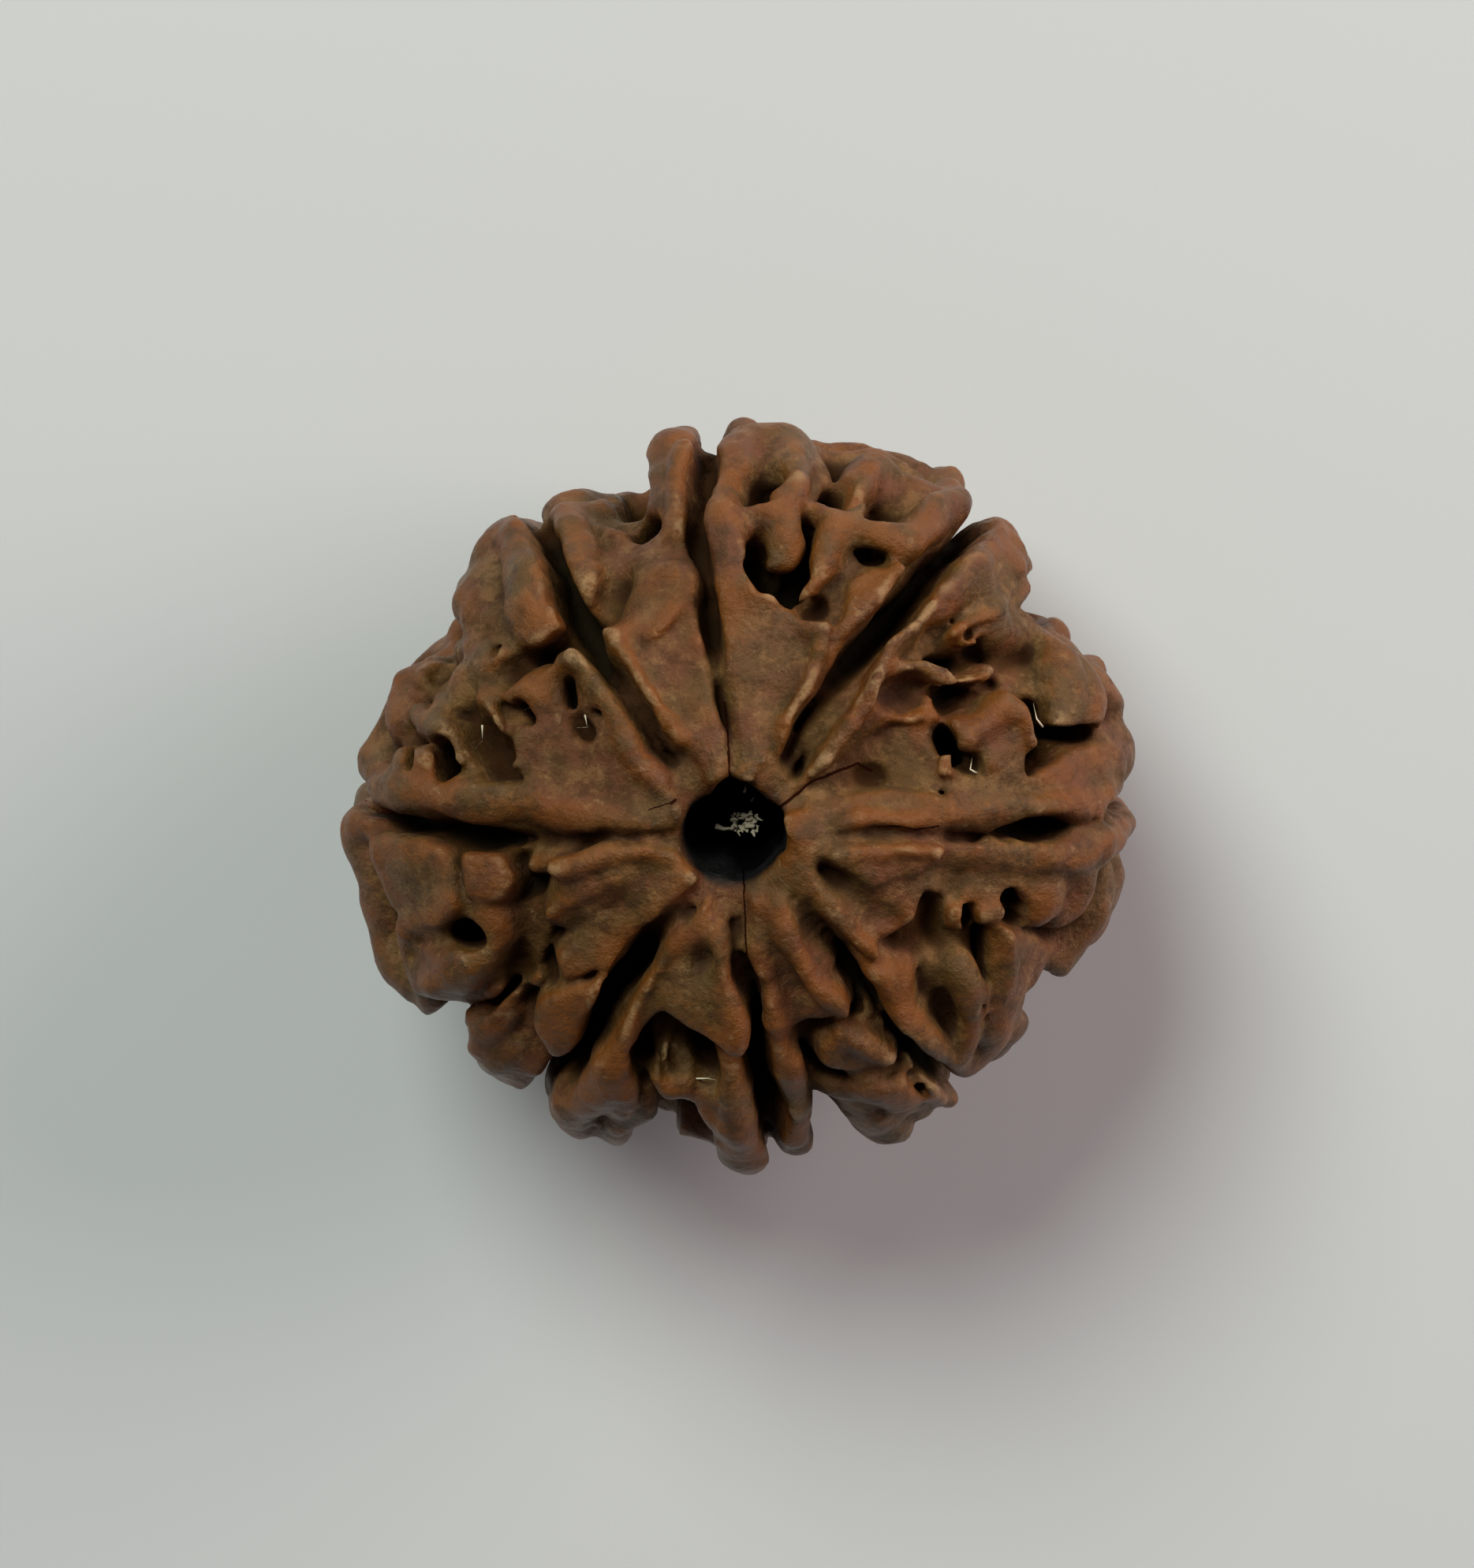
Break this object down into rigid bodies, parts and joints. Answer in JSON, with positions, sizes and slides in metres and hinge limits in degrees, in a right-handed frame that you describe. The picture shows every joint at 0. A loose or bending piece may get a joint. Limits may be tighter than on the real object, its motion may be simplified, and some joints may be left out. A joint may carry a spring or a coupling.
{
  "type": "rudraksha bead",
  "caption": "Deeply ridged oblate seed bead, parted by radial seams from pole to pole, with a thread hole down its axis.",
  "frame": {"origin": "centre of the bounding box at the flat round the lower mouth of the thread hole", "axes": "+Z along the thread hole, up out of the mouth that the picture shows; +X to the right in the picture; +Y up in the picture"},
  "size_m": [0.028, 0.0269, 0.0197],
  "materials": {
    "shell": "waxy satin, dry dirt in the clefts"
  },
  "bodies": {
    "root": {"bead": "shell"}
  },
  "joints": []
}
